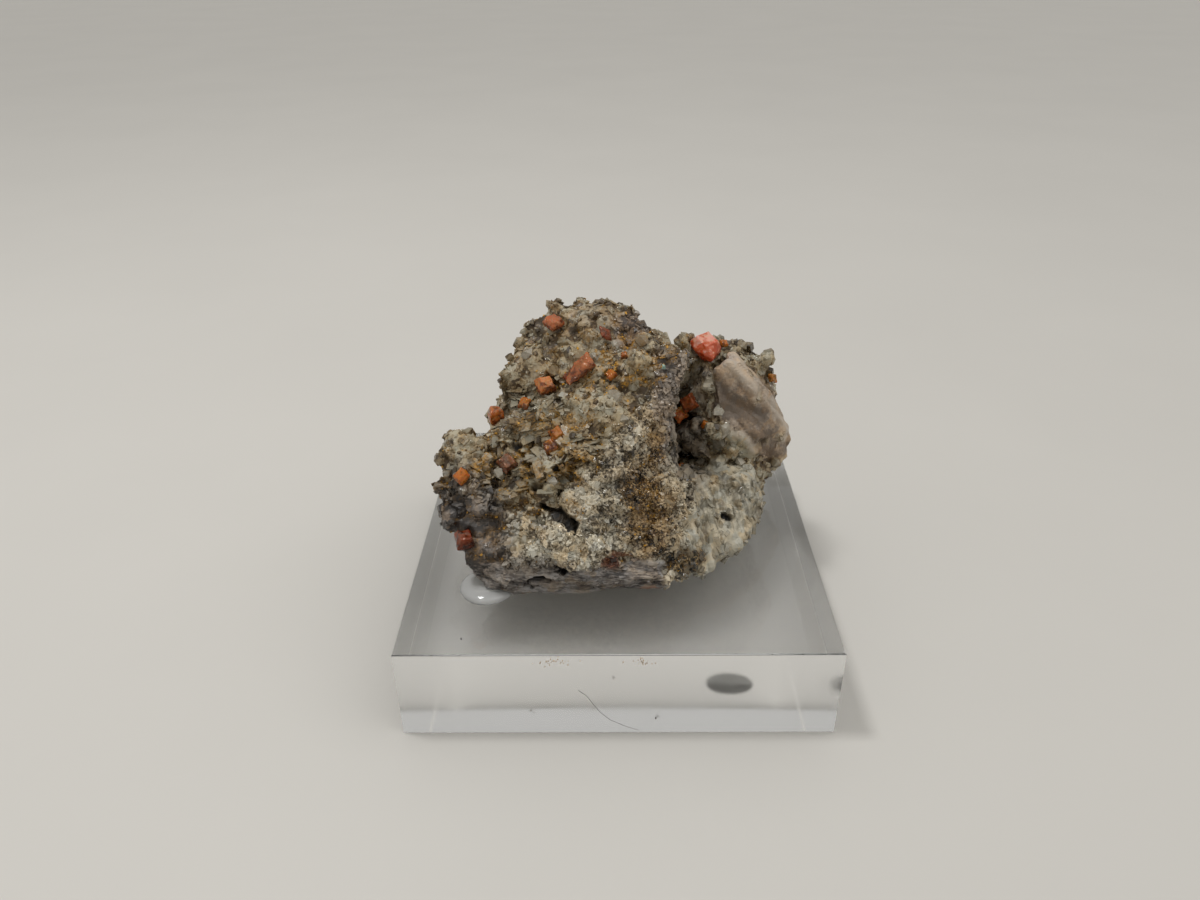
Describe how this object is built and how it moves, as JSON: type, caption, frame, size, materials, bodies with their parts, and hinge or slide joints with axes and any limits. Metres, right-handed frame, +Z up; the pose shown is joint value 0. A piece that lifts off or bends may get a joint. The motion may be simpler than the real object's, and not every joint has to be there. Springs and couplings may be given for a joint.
{
  "type": "mineral specimen on a display block",
  "caption": "Grey quartz stone with small orange-red wulfenite crystals and a dark hollow, glued to a square clear acrylic display block.",
  "frame": {"origin": "middle of the display block's underside", "axes": "+Z up, +X to the right and -Y towards the viewer, with the block's edges along X and Y"},
  "size_m": [0.05, 0.05, 0.0403],
  "materials": {
    "clear_acrylic": "polished clear acrylic",
    "clear_glue": "clear set glue",
    "grey_quartz": "grey drusy and broken quartz with ochre dust",
    "wulfenite": "glossy translucent orange-red crystal"
  },
  "bodies": {
    "root": {"acrylic_base": "clear_acrylic", "quartz_matrix": "grey_quartz", "glue_dot_front": "clear_glue", "glue_dot_back": "clear_glue", "wulfenite_amber_lower": "wulfenite", "wulfenite_amber_upper": "wulfenite", "wulfenite_crest": "wulfenite", "wulfenite_crest_plate": "wulfenite", "wulfenite_edge_block": "wulfenite", "wulfenite_hollow_bright": "wulfenite", "wulfenite_hollow_dark": "wulfenite", "wulfenite_hollow_small": "wulfenite", "wulfenite_knob": "wulfenite", "wulfenite_lobe_amber": "wulfenite", "wulfenite_lobe_great": "wulfenite", "wulfenite_lobe_small": "wulfenite", "wulfenite_middle_pair": "wulfenite", "wulfenite_recess": "wulfenite", "wulfenite_rim_small": "wulfenite", "wulfenite_row_block": "wulfenite", "wulfenite_row_long": "wulfenite", "wulfenite_row_lozenge": "wulfenite", "wulfenite_slab_brown": "wulfenite"}
  },
  "joints": []
}
